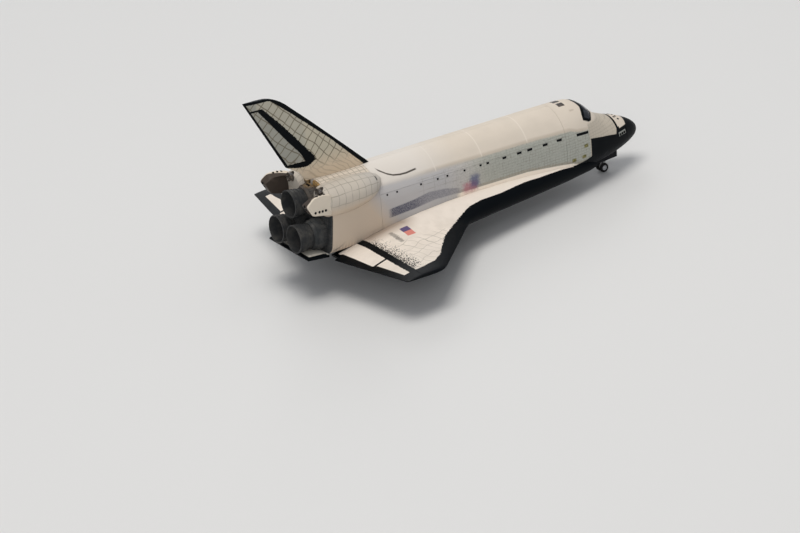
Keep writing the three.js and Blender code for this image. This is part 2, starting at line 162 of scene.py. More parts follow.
class Coat:
    """One finish, laid over the craft in coats of colour that follow its stations."""

    def __init__(self, name, colour, roughness, metallic=0.0, glint=SATIN):
        self.material = bpy.data.materials.new(name)
        self.material.use_nodes = True
        self.tree = self.material.node_tree
        self.shader = self.tree.nodes["Principled BSDF"]
        self.shader.inputs["Metallic"].default_value = metallic
        self.shader.inputs["Roughness"].default_value = roughness
        self.shader.inputs["Specular IOR Level"].default_value = glint
        self.colour = colour
        self.material.diffuse_color = (*colour, 1)
        self.place = self.inches()
        parts = self.tree.nodes.new("ShaderNodeSeparateXYZ")
        self.tree.links.new(self.place, parts.inputs[0])
        forward, port, up = (Reading(self.tree, socket) for socket in parts.outputs)
        self.station = forward.join("MULTIPLY_ADD", -1.0, float(NOSE_STATION))
        self.butt = port
        self.out = port.size()
        self.level = up + float(DATUM_LEVEL)

    def inches(self):
        """Object coordinates turned back to the craft's own inches."""
        source = self.tree.nodes.new("ShaderNodeTexCoord")
        mapping = self.tree.nodes.new("ShaderNodeMapping")
        back = AIRFRAME.inverted()
        mapping.inputs["Location"].default_value = back.translation
        mapping.inputs["Rotation"].default_value = (0, -STANCE, 0)
        mapping.inputs["Scale"].default_value = (1 / INCH,) * 3
        self.tree.links.new(source.outputs["Object"], mapping.inputs["Vector"])
        self.facing = source.outputs["Normal"]
        return mapping.outputs["Vector"]

    def upward(self):
        """How far the surface faces up, from -1 to 1."""
        parts = self.tree.nodes.new("ShaderNodeSeparateXYZ")
        self.tree.links.new(self.facing, parts.inputs[0])
        return Reading(self.tree, parts.outputs["Z"])

    def grain(self, size, detail=2.0, stretch=(1, 1, 1)):
        """Cloudy grain from 0 to 1, its lumps about a size in inches."""
        mapping = self.tree.nodes.new("ShaderNodeMapping")
        mapping.inputs["Scale"].default_value = [1 / (size * s) for s in stretch]
        noise = self.tree.nodes.new("ShaderNodeTexNoise")
        noise.inputs["Scale"].default_value = 1.0
        noise.inputs["Detail"].default_value = detail
        self.tree.links.new(self.place, mapping.inputs["Vector"])
        self.tree.links.new(mapping.outputs["Vector"], noise.inputs["Vector"])
        return Reading(self.tree, noise.outputs["Fac"])

    def lay(self, colour, mask):
        """Another colour where the mask is 1."""
        mix = self.tree.nodes.new("ShaderNodeMix")
        mix.data_type = "RGBA"
        self.tree.links.new(mask.socket, mix.inputs["Factor"])
        below, above = mix.inputs[6:8]
        if isinstance(self.colour, tuple):
            below.default_value = (*self.colour, 1)
        else:
            self.tree.links.new(self.colour, below)
        above.default_value = (*colour, 1)
        self.colour = mix.outputs[2]  # a mix node's colour
        self.tree.links.new(self.colour, self.shader.inputs["Base Color"])

    def sheen(self, roughness):
        self.tree.links.new(roughness.socket, self.shader.inputs["Roughness"])

    def relief(self, height, depth):
        """Bumps of a depth in millimetres."""
        bump = self.tree.nodes.new("ShaderNodeBump")
        bump.inputs["Strength"].default_value = 1.0
        bump.inputs["Distance"].default_value = depth * MILLIMETRE
        self.tree.links.new(height.socket, bump.inputs["Height"])
        self.tree.links.new(bump.outputs["Normal"], self.shader.inputs["Normal"])


def rgb(red, green, blue):
    """A colour as a screen shows it, from 0 to 255, made linear."""
    shares = [value / 255 for value in (red, green, blue)]
    return tuple(s / 12.92 if s <= 0.04045 else ((s + 0.055) / 1.055) ** 2.4 for s in shares)


CREAM = rgb(219, 208, 193)
TILE = rgb(176, 177, 168)
LATE_TILE = rgb(181, 181, 184)
FIN_TILE = rgb(193, 186, 167)
AFT_WALL = rgb(209, 193, 174)
BLACK = rgb(6, 10, 14)
# the colour of painted shade, at the sill and above the glove
SHADE = rgb(150, 134, 112)
LINE = rgb(118, 112, 97)
HEAT_LINE = rgb(44, 46, 50)
PALE_BLUE = rgb(70, 80, 122)
NAVY = rgb(56, 60, 86)
MARK_YELLOW = rgb(136, 126, 50)

# the blur of a printed edge, in inches
EDGE = 1.2
# how deep a finish is worked, in millimetres
SPRAYED = 0.006
GROOVED = 0.008
CAST = 0.01
# the black heat tiles' spacing and gaps, in inches
HEAT_TILE = 12
HEAT_GAP = 1.2


def painted(name, colour=CREAM, roughness=0.42):
    """A satin coat with the faint unevenness of sprayed paint."""
    coat = Coat(name, colour, roughness)
    coat.lay(tuple(0.88 * c for c in colour), coat.grain(60, 3.0).past(0.62, 0.5) * 0.5)
    coat.sheen(coat.grain(14, 3.0) * 0.16 + (roughness - 0.08))
    return coat


def eggshell(coat, grooves=None, depth=SPRAYED):
    """The fine relief of sprayed paint, sunk where the grooves are 1."""
    fine = coat.grain(4) * 0.3
    coat.relief(fine if grooves is None else grooves * -1 + fine, depth)


def ragged(coat, size, reach):
    """A wander to either side, for edges that were printed a little rough."""
    return (coat.grain(size, 1.5) - 0.5) * (2 * reach)


def grid(across, down, spacings, width, blur=1.0):
    """Lines both ways, each way with its own spacing."""
    return across.ruled(spacings[0], width, blur).over(down.ruled(spacings[1], width, blur))


def heat_tiles(across, down, blur=1.0):
    return grid(across, down, (HEAT_TILE, HEAT_TILE), HEAT_GAP, blur)


# Fuselage paint, its lines through (station, level), the brow and chin through (butt, station)

SILL = ((470, 420), (500, 422), (530, 426), (560, 437), (700, 443), (908, 445), (1097, 449),
        (1290, 458))
GLOVE_TOP = ((481, 310), (536, 316), (559, 325), (613, 334), (669, 341), (741, 348.5), (981, 351))
NOSE_LIP = ((350, 366), (361, 365), (395, 372.5), (438, 381), (480, 389))
CHINE = ((480, 327), (504, 320), (534, 316), (570, 312), (640, 300), (1506, 290))
DASH = ((487, 414), (537, 418))
CURL = ((1145, 469), (1186, 466), (1210, 467), (1233, 470.5), (1252, 478), (1272, 490), (1283, 499))
BAND_FOOT = ((1000, 352), (1100, 356), (1180, 347), (1276, 342))
BAND_TOP = ((1000, 368), (1060, 382), (1120, 388), (1180, 378), (1276, 371))
BROW = ((0, 489), (43, 484), (69, 494), (84, 498))
CHIN = ((0, 438), (24, 440), (48, 444), (74, 461), (84, 474))
YELLOW_MARKS = ((502, 371.5), (512, 336.5), (554, 335))

# where the tiled side begins, and where its grey turns bluer
SIDE_FROM = 481
LATE_FROM = 980
# the roof's edge near the tail
ROOF = 456


def side_tiles(coat, wander, bend):
    """The tiled side under the doors, its glove strip and the nose. Gives back the grooves."""
    station, level = coat.station, coat.level
    uprights = (station + bend).ruled(11.5, 1.8, 1.4) * 0.8
    tiles = uprights.over((level + bend * 0.6).ruled(9.5, 2.0, 1.4))
    worn = coat.grain(16, 3.0).past(0.42, 0.35)
    sill = station.along(SILL)
    crisp = station.along([(860, 0.2), (1080, 0.06), (1300, 0.045)])
    side = ((sill + wander - level) * crisp).join("ADD", 0.5, clamp=True)
    side = side * station.between(SIDE_FROM, 1420, 3)
    # a band of painted shade along the sill, where the doors meet the tiled side
    shade = (level - sill).between(-4, 9, 7) * station.between(SIDE_FROM, 1140, 60)
    coat.lay(SHADE, shade * 0.3)
    tone = station.along([(480, 1.0), (760, 1.0), (1000, 0.85), (1306, 0.8)])
    coat.lay(TILE, side * tone * station.short_of(LATE_FROM, 160))
    coat.lay(LATE_TILE, side * tone * station.past(LATE_FROM, 160))
    fade = station.along([(480, 0.48), (800, 0.42), (980, 0.22), (1060, 0.0), (1200, 0.0)])
    grooves = tiles * side * fade
    coat.lay(LINE, grooves * worn)
    specks = coat.grain(5.5).past(0.58, 0.16) * station.short_of(1050, 160)
    coat.lay(rgb(120, 122, 114), specks * side * 0.32)
    sheets = grid(station + bend * 0.6 - 8.0, level - 3.0, (42, 18), 2.2, 1.6)
    rear = station.between(1010, 1150, 30) * level.between(384, 441, 6)
    coat.lay(LINE, sheets * rear * worn * 0.4)

    glove = station.along(GLOVE_TOP)
    reach = station.between(SIDE_FROM, 1010, 20)
    # painted shade on the side just above the glove, where the wing root meets it
    coat.lay(SHADE, (level - glove).between(-3, 9, 8) * reach * 0.4)
    coat.lay(rgb(250, 238, 222), level.short_of(glove, 2.5) * reach)
    nose = station.between(352, 484, 3) * level.short_of(438, 10)
    coat.lay(rgb(190, 181, 166), nose * 0.85)
    coat.lay(LINE, tiles * nose * worn * 0.3)
    return grooves


def roof_tones(coat, bend):
    """The roof's row and pale seams, its greyer rear lightened as painted light, the tan wall and
    the tiled deck.
    """
    station, level = coat.station, coat.level
    row = level.between(465, 485, 9) * station.short_of(1285, 4) * station.past(600, 20)
    coat.lay(rgb(206, 195, 180), row * coat.grain(40, 3.0) * 0.35)
    seams = (station - 20.0).ruled(177, 4.0, 2.5) * station.between(600, 1200, 2)
    coat.lay(rgb(238, 229, 217), seams * level.past(446, 6) * 0.45)
    # painted light: the rear roof is laid greyer and lighter, to lift it out of the shade that
    # falls there
    coat.lay(rgb(223, 217, 209), station.past(1060, 160) * level.past(ROOF, 12) * 0.8)
    wall = (station - level * 0.7 + 294.0).past(1327, 70)
    coat.lay(AFT_WALL, wall * level.short_of(ROOF, 10))
    deck = station.past(1302, 2) * level.past(ROOF, 10)
    coat.lay(rgb(214, 203, 188), deck)
    lines = grid(station + bend * 0.3, coat.out + bend * 0.3, (18.5, 18), 2.4, 1.2)
    coat.lay(LINE, lines * deck * 0.6)


def nose_borders(coat, wander):
    """The black chin, chine and cap, the thruster bay's outline and the windshield's frame."""
    station, level = coat.station, coat.level
    rough = wander * 0.35
    black = station.short_of(480) * level.short_of(station.along(NOSE_LIP) + rough, EDGE)
    black = black.over(level.short_of(station.along(CHINE) + rough, EDGE))
    black = black.over((station + (level - 370) * 0.45).short_of(307))
    black = black.over(level.short_of(372) * station.short_of(354))
    hoop = station.between(344.5, 354, 0.8)
    bar = level.between(368.5, 376, EDGE) * station.short_of(351)
    corner = (station - 354 + (level - 380) * 0.55).short_of(0)
    corner = corner * station.past(340) * level.short_of(382)
    chin, brow = (coat.out.along(line) + wander * 0.3 for line in (CHIN, BROW))
    surround = station.between(chin, brow) * level.past(443) * coat.out.short_of(80, 2)
    return black.over(hoop).over(bar).over(corner).over(surround)


def nose_marks(coat):
    """The pale thruster panel, three soft yellow marks and the black dash above them."""
    station, level = coat.station, coat.level
    coat.lay(rgb(148, 150, 144),
             level.between(352.5, 365.5, EDGE) * station.between(314.5, 349.5, EDGE))
    for place, height in YELLOW_MARKS:
        mark = station.between(place - 8, place + 8, 4)
        mark = mark * level.between(height - 5.5, height + 5.5, 4)
        coat.lay(MARK_YELLOW, mark * 0.8)
        coat.lay(rgb(52, 54, 22), mark * coat.grain(6, 1.0).past(0.48, 0.1) * 0.7)
    dash = (level - station.along(DASH)).size().short_of(4.6)
    coat.lay(BLACK, dash * station.between(DASH[0][0], DASH[1][0]))


def side_marks(coat):
    """The curled line at the tail, the plain mottled band and the soft two-colour patch."""
    station, level = coat.station, coat.level
    curl = (level - station.along(CURL)).size().short_of(2.2, 1.4)
    coat.lay(rgb(66, 60, 54), curl * station.between(1148, 1276, 6) * 0.95)
    band = level.between(station.along(BAND_FOOT), station.along(BAND_TOP), 4)
    band = band * station.between(1004, 1270, 16)
    flecks = coat.grain(2.2).past(0.48, 0.3) * 0.5 + 0.45
    tone = station.along([(1000, 0.5), (1130, 0.6), (1180, 0.95), (1280, 1.0)])
    coat.lay(NAVY, band * flecks * tone)
    spread = ragged(coat, 9, 9)
    across, down = station + spread, level + spread
    rosy = across.between(938, 990, 14) * down.between(344, 378, 14)
    coat.lay(rgb(176, 92, 112), rosy * 0.6)
    bluish = across.between(928, 962, 14) * down.between(356, 398, 16)
    coat.lay(PALE_BLUE, bluish * 0.7)


def belly_tiles(coat, bend):
    """Heat tiles below, with the outlines of the two small rear doors."""
    station, out = coat.station, coat.out
    belly = coat.level.short_of(330, 20) * (coat.upward() * -1).past(0.2, 0.3)
    coat.lay(HEAT_LINE, heat_tiles(station + bend * 0.3, coat.butt) * belly * 0.7)
    doors = station.between(1352, 1412) * out.between(38, 92)
    inner = station.between(1354.5, 1409.5) * out.between(40.5, 89.5)
    coat.lay(rgb(70, 70, 72), doors * inner.outside() * belly)


def fuselage_paint():
    coat = painted("fuselage_paint")
    wander = ragged(coat, 7, 2.2)
    bend = coat.grain(40, 1.0) * 9
    grooves = side_tiles(coat, wander, bend)
    roof_tones(coat, bend)
    hatch = coat.station.between(512, 530, 5) * coat.level.between(487, 499, 3)
    coat.lay(rgb(150, 132, 112), hatch * coat.out.past(50, 5) * 0.45)
    coat.lay(BLACK, nose_borders(coat, wander))
    nose_marks(coat)
    side_marks(coat)
    belly_tiles(coat, bend)
    eggshell(coat, grooves)
    return coat.material


# Wing paint, its borders through (butt, station), the elevons' gap through (station, butt)

WING_FRONT = (
    (104, 560), (109, 614), (121, 700), (128, 772), (146, 878), (154, 960), (164, 1008),
    (175, 1035), (196, 1075), (234, 1126), (276, 1179), (328, 1224), (377, 1264), (405, 1300),
    (420, 1358), (424, 1500))
WING_REAR = ((120, 1476), (127, 1470), (280, 1457), (296, 1446), (432, 1425), (470, 1418))
ELEVON_GAP = ((1387, 283), (1460, 289))
TIP_BORDER = 431


def wing_tones(coat):
    """Long crossed tile lines near the tip, clouds, and a painted tan shade at the root."""
    station, out = coat.station, coat.out
    lines = (station + out * 0.55 + coat.grain(90) * 70).ruled(34, 2.4, 1.2)
    rows = (out - station * 0.35 + coat.grain(110) * 80).ruled(44, 2.4, 1.2)
    tip = out.between(235, 430, 20) * station.between(1150, 1365, 10)
    coat.lay(rgb(170, 160, 146), lines.over(rows) * tip * 0.8)
    cloud = coat.grain(34, 4.0).past(0.56, 0.25) * out.past(150, 60)
    coat.lay(rgb(212, 201, 186), cloud * 0.35)
    coat.lay(rgb(206, 198, 186), out.past(300, 120) * 0.35)
    # painted shade on the wing, where it meets the fuselage
    root = out.short_of(154, 60) * station.between(1215, 1392, 50)
    coat.lay(rgb(166, 148, 132), root * 0.85)


def stipple(coat):
    """Black specks that crowd towards the elevons and the tip."""
    station, out = coat.station, coat.out
    crowd = station.along([(1330, -0.2), (1350, -0.12), (1384, 0.06)])
    crowd = crowd + out.along([(150, -0.04), (400, 0.04)])
    specks = (coat.grain(5.0, 2.0, (1, 1, 0.2)) + crowd).past(0.5, 0.05)
    coat.lay(BLACK, specks * station.between(1332, 1386) * out.between(150, 405, 30) * 0.95)


def wing_borders(coat, jag):
    """Black along the front, tip, hinge line and rear edge, below, and at the root."""
    station, out = coat.station, coat.out
    black = station.short_of(out.along(WING_FRONT) + jag, EDGE)
    black = black.over(station.past(out.along(WING_REAR), EDGE))
    hinge = (station + ragged(coat, 9, 2.5)).between(1383, 1407, EDGE)
    gap = (out - station.along(ELEVON_GAP)).size().short_of(4.5, EDGE) * station.past(1400)
    black = black.over(hinge).over(out.past(TIP_BORDER, EDGE)).over(gap)
    root = out.short_of(108) * coat.level.short_of(312, 4)
    return black.over(coat.upward().short_of(-0.05, 0.1)).over(root)


def wing_marks(coat, jag):
    """On top: a plain two-colour patch and a smudged bar to starboard, a bar to port."""
    station, out = coat.station, coat.out
    top = coat.upward().past(0.1, 0.2)
    starboard = (coat.butt * -1).past(0) * top
    port = coat.butt.past(0) * top
    patch = station.between(1246, 1276) * out.between(160, 213) * starboard
    coat.lay(rgb(214, 112, 98), patch * 0.85)
    coat.lay(PALE_BLUE, patch * out.short_of(186) * 0.9)
    smudge = coat.grain(34, 1.0).past(0.5, 0.5) * 0.25 + 0.45
    smudge = smudge * (out + jag).between(156, 232, 7)
    along = station + jag
    coat.lay(rgb(76, 74, 68), along.between(1302, 1316, 5) * smudge * starboard * 0.95)
    coat.lay(rgb(104, 112, 138), along.between(1214, 1228, 5) * smudge * port * 0.85)


def wing_paint():
    coat = painted("wing_paint", rgb(238, 227, 214))
    jag = ragged(coat, 5, 7)
    wing_tones(coat)
    stipple(coat)
    coat.lay(BLACK, wing_borders(coat, jag))
    wing_marks(coat, jag)
    below = (coat.upward() * -1).past(0.3, 0.3)
    coat.lay(HEAT_LINE, heat_tiles(coat.station, coat.butt) * below * 0.7)
    eggshell(coat)
    return coat.material


# Fin paint, its lines through (level, station), the tip and foot through (station, level)

FIN_FRONT = ((500, 1289), (625, 1410), (750, 1547), (778, 1579), (805, 1611), (822, 1640))
FIN_TIP = ((1570, 796), (1595, 804), (1625, 809), (1713, 813))
FIN_REAR = ((570, 1567), (822, 1704))
RUDDER_FRONT = ((571, 1474), (584, 1473), (609, 1494), (662, 1535), (727, 1589), (790, 1645))
RUDDER_BACK = ((576, 1508), (604, 1522), (662, 1569), (725, 1616), (781, 1659))
RUDDER_FOOT = ((1474, 571), (1490, 560), (1507, 555), (1543, 559), (1577, 569))
DIAGONAL = 0.7071


def fin_borders(coat):
    """Black along the front, tip and rear edges, and around the rudder."""
    station, level = coat.station, coat.level
    jag = ragged(coat, 5, 4.5)
    black = station.short_of(level.along(FIN_FRONT) + jag * 0.5, EDGE)
    black = black.over(level.past(station.along(FIN_TIP) + jag * 0.3, EDGE))
    hinge = station.past(level.along(RUDDER_FRONT) + jag, EDGE)
    hinge = hinge * station.short_of(level.along(RUDDER_BACK) + jag * 0.4, EDGE)
    foot = station.past(1470) * (level + jag * 0.5).between(station.along(RUDDER_FOOT), 576)
    top = level.between(783, 789.5) * station.past(1650)
    rear = station.past(level.along(FIN_REAR), EDGE) * level.past(566)
    return black.over(hinge * level.between(571, 789)).over(foot).over(top).over(rear)


def fin_paint():
    """Slanted tiles, a warm foot with looser lines, and a greyer rudder."""
    coat = painted("fin_paint", FIN_TILE)
    station, level = coat.station, coat.level
    sway = level.along([(480, 80), (560, 46), (640, 16), (820, 8)])
    wave = (coat.grain(60, 1.0) - 0.5) * sway
    tiles = grid((station - level) * DIAGONAL + wave, (station + level) * DIAGONAL + wave,
                 (30, 27), 3.2, 1.4)
    drift = (coat.grain(70, 2.0, (1.6, 1, 0.8)) - 0.5) * 70
    loose = (station * 0.62 - level * 0.78 + drift).ruled(16, 3.0, 3.0)
    foot = level.short_of(556, 50)
    aft = level.past(576, 3)
    coat.lay(rgb(222, 202, 176), level.short_of(566, 60) * 0.8)
    coat.lay(rgb(150, 152, 146), station.past(1500, 12) * aft * 0.35)
    coat.lay(rgb(136, 139, 135), station.past(level.along(RUDDER_FRONT) + 20.0, 6) * aft * 0.5)
    coat.lay(rgb(108, 100, 84), tiles * foot.outside() * 0.85)
    coat.lay(rgb(150, 132, 108), loose * foot * coat.grain(24).past(0.35, 0.3) * 0.45)
    coat.lay(BLACK, fin_borders(coat))
    eggshell(coat, tiles, GROOVED)
    return coat.material


# Paint of the smaller pieces

# butt and level that a pod's tiles turn about
POD_MIDDLE = (60, 458)
# where a housing's dark rear face begins, through (butt, station)
DARK_REAR = ((112, 1500), (136, 1566), (141, 1580), (144, 1610), (150, 1640))


def pod_paint():
    coat = painted("pod_paint", rgb(200, 191, 178))
    station, level, out = coat.station, coat.level, coat.out
    butt, middle = POD_MIDDLE
    angle = (level - middle).join("ARCTAN2", out - butt)
    bend = coat.grain(38, 1.0) * 12
    slant = station + (level - middle) * 0.12
    tiles = grid(angle * 62 + bend * 0.5, slant + bend, (26, 26), 1.8, 1.2)
    coat.lay(rgb(182, 178, 172), station.short_of(1360, 60) * 0.6)
    printed = coat.grain(30).past(0.3, 0.25) * station.past(1308, 6)
    coat.lay(LINE, tiles * printed * level.past(446, 22) * 0.55)
    coat.lay(AFT_WALL, level.short_of(446, 26) * station.past(1330, 50))
    mark = station.between(1311, 1317, 2) * level.between(487, 498, 2) * out.past(100, 2)
    coat.lay(rgb(66, 64, 66), mark * 0.85)
    eggshell(coat, tiles, GROOVED)
    return coat.material


def housing_paint():
    """The thruster housing: plain cream, with a dark rear face."""
    coat = painted("housing_paint", rgb(222, 211, 194), 0.36)
    # the rear face beyond this line is laid dark brown
    rear = coat.station.past(coat.out.along(DARK_REAR), 3) * coat.out.short_of(141, 2)
    coat.lay(rgb(74, 66, 60), rear)
    coat.relief(coat.grain(3, 3.0) * 0.5, SPRAYED)
    return coat.material


def base_paint():
    """The base wall and its domes, with a bronze bloom over the upper dome."""
    coat = moulded("base_plastic", rgb(58, 60, 61), 0.45, rgb(98, 96, 92))
    bloom = coat.level.past(490, 8) * coat.grain(12, 3.0).past(0.3, 0.3)
    coat.lay(rgb(176, 142, 90), bloom * 0.9)
    dust = coat.level.between(452, 492, 14) * coat.grain(18, 3.0)
    coat.lay(rgb(104, 92, 80), dust * 0.8)
    tiles = heat_tiles(coat.butt, coat.level) * coat.station.short_of(1516, 2)
    coat.lay(rgb(34, 35, 36), tiles * 0.6)
    return coat.material


def flap_paint():
    """The body flap: black, with a pale upper face inside a black rim; the face is laid paler than
    its own grey, as painted light against the bells' shade.
    """
    coat = painted("flap_paint", BLACK, 0.4)
    above = coat.upward().past(0.5, 0.2)
    inside = coat.out.short_of(106, 2) * coat.station.short_of(1582, 2)
    # painted light: the upper face is laid much paler than its own grey, to cancel the shade the
    # bells cast on it
    coat.lay(rgb(226, 220, 206), above * inside * coat.grain(20).past(0.2, 0.5))
    coat.lay(rgb(206, 202, 192), coat.station.between(1514, 1521) * above)
    coat.relief(heat_tiles(coat.station, coat.butt, 0.8) * -1, SPRAYED)
    return coat.material


def plain_paint(name, colour, roughness):
    coat = painted(name, colour, roughness)
    coat.relief(coat.grain(3, 3.0) * 0.5, SPRAYED)
    return coat.material


def moulded(name, colour, roughness, bloom):
    """A coat of dark moulded plastic with a dusty bloom in patches."""
    coat = Coat(name, colour, roughness)
    coat.lay(bloom, coat.grain(26, 4.0).past(0.56, 0.3) * 0.55)
    coat.sheen(coat.grain(7, 3.0) * 0.3 + (roughness - 0.12))
    coat.relief(coat.grain(2.2, 3.0), CAST)
    return coat


# the angle between two tubes of a bell, in radians
TUBE = 0.0873


def bell_paint():
    """Dark bells with fine tubes down their walls."""
    coat = moulded("bell_plastic", rgb(59, 60, 61), 0.4, rgb(100, 97, 92))
    upper = coat.level.past(397, 2)
    centre = upper * 97.0 + (coat.station - 1600.0) * 0.045 + 348.0
    angle = (coat.level - centre).join("ARCTAN2", coat.out + upper * 54.0 - 54.0)
    tubes = angle.ruled(TUBE, 0.036, 0.02)
    coat.lay(rgb(30, 31, 32), tubes * 0.45)
    coat.relief(tubes * -1.5 + coat.grain(2.2, 3.0), CAST)
    return coat.material


def metal(name, colour, roughness):
    coat = Coat(name, colour, roughness, metallic=0.95)
    coat.lay(tuple(0.55 * c for c in colour), coat.grain(5, 3.0).past(0.55, 0.3) * 0.6)
    coat.sheen(coat.grain(3) * 0.25 + (roughness - 0.1))
    return coat.material


def window_glass(name, colour, smoke):
    """Dark glossy panes with a smoky unevenness."""
    coat = Coat(name, colour, 0.08, glint=GLASSY)
    coat.lay(smoke, coat.grain(20, 3.0).past(0.5, 0.4) * 0.6)
    coat.sheen(coat.grain(9, 3.0) * 0.12 + 0.04)
    return coat.material


def port_paint():
    """Thruster ports: dark grey, blotched with soot black."""
    coat = Coat("port_paint", rgb(34, 34, 36), 0.5)
    coat.lay(rgb(12, 12, 13), coat.grain(2.5).past(0.45, 0.2))
    coat.sheen(coat.grain(2) * 0.3 + 0.35)
    return coat.material


FUSELAGE = fuselage_paint()
WING = wing_paint()
FIN = fin_paint()
POD = pod_paint()
HOUSING = housing_paint()
DOOR = plain_paint("door_paint", rgb(30, 31, 34), 0.4)
FLAP = flap_paint()
BASE = base_paint()
BELL = bell_paint()
NOZZLE = metal("nozzle_metal", rgb(150, 144, 138), 0.25)
GLASS = window_glass("window_glass", rgb(24, 28, 34), rgb(52, 58, 66))
SMOKED_GLASS = window_glass("smoked_glass", rgb(58, 54, 52), rgb(118, 106, 96))
PORT = port_paint()
VENT = plain_paint("vent_paint", rgb(20, 21, 24), 0.4)
STRUT = plain_paint("strut_paint", rgb(196, 196, 192), 0.35)
CHROME = metal("oleo_chrome", rgb(210, 210, 212), 0.15)
HUB = plain_paint("hub_paint", rgb(176, 178, 180), 0.3)
TYRE = moulded("tyre_rubber", rgb(30, 30, 31), 0.7, rgb(46, 46, 46)).material


# Shells


def alone(piece):
    bpy.ops.object.select_all(action="DESELECT")
    bpy.context.view_layer.objects.active = piece
    piece.select_set(True)


@contextlib.contextmanager
def editing(piece):
    """Edit mode with everything selected."""
    alone(piece)
    bpy.ops.object.mode_set(mode="EDIT")
    bpy.ops.mesh.select_all(action="SELECT")
    yield
    bpy.ops.object.mode_set(mode="OBJECT")


def apply(piece, modifier):
    alone(piece)
    bpy.ops.object.modifier_apply(modifier=modifier.name)


def finish(piece, material, body="airframe", angle=35):
    """Gives a piece its finish and seats it on its body."""
    alone(piece)
    bpy.ops.object.shade_smooth_by_angle(angle=math.radians(angle))
    piece.data.materials.clear()
    piece.data.materials.append(material)
    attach(piece, body)
    return piece


def copied(piece, name):
    twin = piece.copy()
    twin.data = piece.data.copy()
    twin.name = name
    bpy.context.scene.collection.objects.link(twin)
    return twin


def dressed(node, material, angle=35):
    """A copy of a solid, merged and smoothed, that stands for it."""
    piece = copied(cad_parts[node], "dressed_" + node)
    for key in [key for key in piece.keys() if key.startswith("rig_")]:
        del piece[key]
    piece.parent = None
    with editing(piece):
        bpy.ops.mesh.customdata_custom_splitnormals_clear()
        bpy.ops.mesh.remove_doubles(threshold=1e-6)
    finish(piece, material, angle=angle)
    even = piece.modifiers.new("even", "WEIGHTED_NORMAL")
    even.keep_sharp = True
    even.weight = 60
    apply(piece, even)
    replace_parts(piece, node)
    return piece


dressed("nose_cap", FUSELAGE)
CABIN = dressed("forward_fuselage", FUSELAGE)
dressed("mid_fuselage", FUSELAGE)
dressed("aft_fuselage", FUSELAGE)
for side, _ in SIDES:
    dressed("payload_door_" + side, FUSELAGE)
    dressed("wing_" + side, WING)
    dressed("elevon_inner_" + side, WING)
    dressed("elevon_outer_" + side, WING)
    dressed("oms_pod_" + side, POD)
    dressed("rcs_housing_" + side, HOUSING, 50)
    dressed("nose_gear_door_" + side, DOOR)
    dressed("main_gear_door_" + side, DOOR)
    dressed("main_gear_leg_" + side, STRUT)
dressed("engine_heat_shield", BASE, 30)
dressed("body_flap", FLAP)
dressed("fin", FIN, 30)
dressed("rudder", FIN, 30)
dressed("nose_gear_leg", STRUT)


# Shaping tools, in the craft's inches


def started(kind, name, **values):
    """A primitive to shape, alone in the selection."""
    bpy.ops.object.select_all(action="DESELECT")
    getattr(bpy.ops.mesh, "primitive_" + kind + "_add")(**values)
    piece = bpy.context.active_object
    piece.name = name
    return piece


def pull(piece, corners):
    """Moves each vertex of a piece to its own corner."""
    with editing(piece):
        cage = bmesh.from_edit_mesh(piece.data)
        for index, corner in enumerate(corners):
            bpy.ops.mesh.select_all(action="DESELECT")
            cage.verts.ensure_lookup_table()
            vertex = cage.verts[index]
            vertex.select_set(True)
            cage.select_flush(True)
            bpy.ops.transform.translate(value=corner - vertex.co)
        bpy.ops.mesh.select_all(action="SELECT")


def turned(name, profile, sides):
    """A wall turned about Z through (radius, height) places."""
    radius, height = profile[0]
    piece = started("circle", name, vertices=sides, radius=radius)
    with editing(piece):
        bpy.ops.transform.translate(value=(0, 0, height))
        for (r0, h0), (r1, h1) in zip(profile, profile[1:]):
            bpy.ops.mesh.extrude_region_move(TRANSFORM_OT_translate={"value": (0, 0, h1 - h0)})
            bpy.ops.transform.resize(value=(r1 / r0, r1 / r0, 1), center_override=(0, 0, h1))
        bpy.ops.mesh.select_all(action="SELECT")
        bpy.ops.mesh.remove_doubles(threshold=0.03)
        bpy.ops.mesh.normals_make_consistent(inside=False)
    return piece


def eased(piece, width, angle=30):
    """Rounds every edge that turns by more than an angle."""
    edge = piece.modifiers.new("edge", "BEVEL")
    edge.width = width
    edge.segments = 2
    edge.limit_method = "ANGLE"
    edge.angle_limit = math.radians(angle)
    apply(piece, edge)
    return piece


def rod(name, start, end, radius, sides=16):
    """A round bar between two places, its ends eased."""
    along = end - start
    piece = started("cylinder", name, vertices=sides, radius=radius, depth=along.length)
    eased(piece, radius * 0.25, 60)
    return placed(piece, (start + end) / 2, along)


def brick(name, size, bevel):
    """A block of a size about the origin, its edges eased."""
    piece = started("cube", name, size=1)
    with editing(piece):
        bpy.ops.transform.resize(value=size)
    return eased(piece, bevel)


def placed(piece, place, axis=(0, 0, 1)):
    """Turns a piece's Z to an axis and moves it to a place, both kept in its mesh."""
    alone(piece)
    turn = Vector(axis).to_track_quat("Z", "Y").to_matrix().to_4x4()
    piece.matrix_world = Matrix.Translation(place) @ turn
    bpy.ops.object.transform_apply(location=True, rotation=True, scale=True)
    return piece


def joined(name, pieces):
    alone(pieces[0])
    for piece in pieces:
        piece.select_set(True)
    bpy.ops.object.join()
    pieces[0].name = name
    return pieces[0]


def seated(piece):
    """Takes a piece from the craft's inches to its place on the parked model."""
    alone(piece)
    piece.matrix_world = AIRFRAME
    bpy.ops.object.transform_apply(location=True, rotation=True, scale=True)
    return piece


def added(piece, material, body="airframe", angle=35):
    """Seats a shaped piece and finishes it."""
    return finish(seated(piece), material, body, angle)


def skin(*nodes):
    """The surface of some solids, in the craft's inches, to set things on."""
    back = AIRFRAME.inverted()
    points, faces = [], []
    for node in nodes:
        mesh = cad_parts[node].data
        start = len(points)
        points += [back @ vertex.co for vertex in mesh.vertices]
        faces += [[start + index for index in face.vertices] for face in mesh.polygons]
    return BVHTree.FromPolygons(points, faces)


